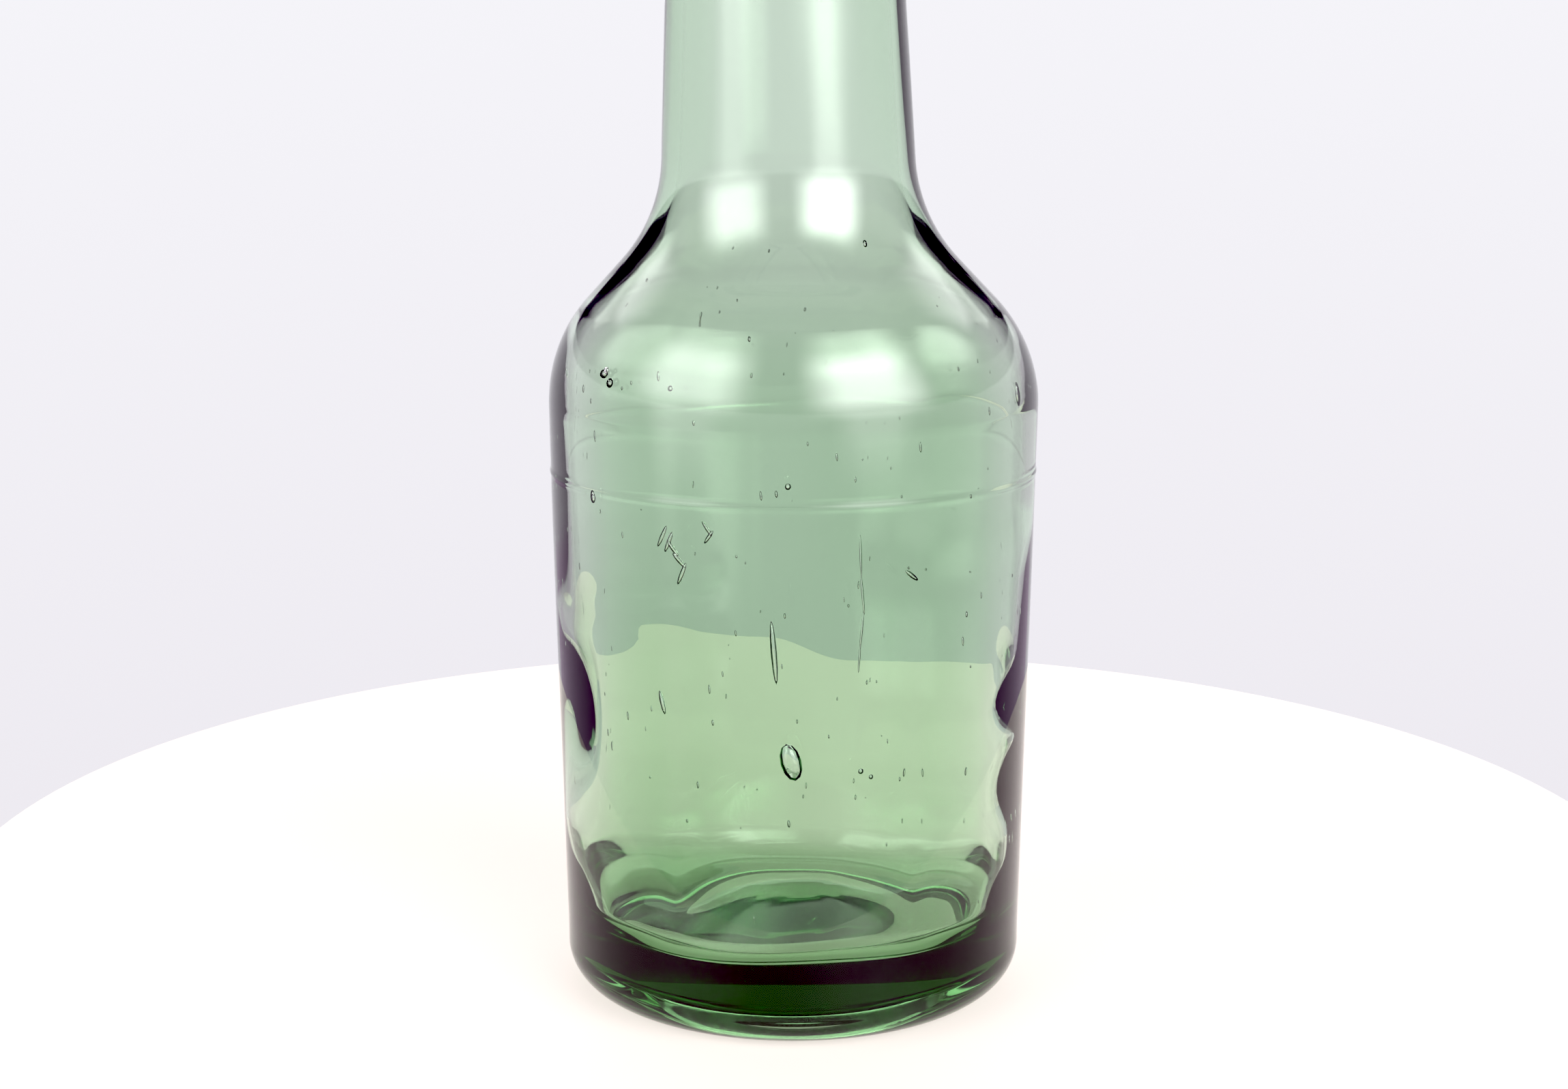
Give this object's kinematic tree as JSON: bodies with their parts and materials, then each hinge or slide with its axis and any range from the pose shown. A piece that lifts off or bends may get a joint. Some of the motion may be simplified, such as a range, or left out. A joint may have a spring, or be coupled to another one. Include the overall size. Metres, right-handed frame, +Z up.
{
  "type": "glass soda bottle with swing-top closure",
  "caption": "Small round-shouldered bottle of thick pale green glass for a fizzy drink, shut by a porcelain stopper on a wire bail and toggle lever.",
  "frame": {"origin": "centre of the resting plane under the base", "axes": "+Z up along the bottle's axis, front (the lever's thumb loop) towards -Y, lever pivots along X"},
  "size_m": [0.0624, 0.0624, 0.1942],
  "materials": {
    "glass": "old mould-blown glass, pale grey-green, glossy, slightly uneven, with seed bubbles",
    "wire": "tinned steel wire, dulled",
    "porcelain": "glazed white porcelain, faintly cream",
    "rubber": "red-brown rubber, matt"
  },
  "bodies": {
    "bottle": {"bottle_glass": "glass", "neck_wire": "wire"},
    "lever": {"lever_wire": "wire"},
    "bail": {"bail_wire": "wire"},
    "stopper": {"stopper": "porcelain", "washer": "rubber"}
  },
  "joints": [
    {"name": "lever_pivot", "type": "hinge", "parent": "bottle", "child": "lever", "pos_m": [0, 0, 0.161], "axis": [-1, 0, 0], "range_deg": [0, 125]},
    {"name": "bail_pivot", "type": "hinge", "parent": "lever", "child": "bail", "pos_m": [0, 0.00056, 0.15302], "axis": [-1, 0, 0], "range_deg": [-89, 0]},
    {"name": "stopper_swing", "type": "hinge", "parent": "bail", "child": "stopper", "pos_m": [0, 0, 0.1889], "axis": [-1, 0, 0], "range_deg": [-37, 0]}
  ],
  "couplings": [
    {"joint": "bail_pivot", "follows": "lever_pivot", "ratio": -0.71},
    {"joint": "stopper_swing", "follows": "lever_pivot", "ratio": -0.29}
  ]
}
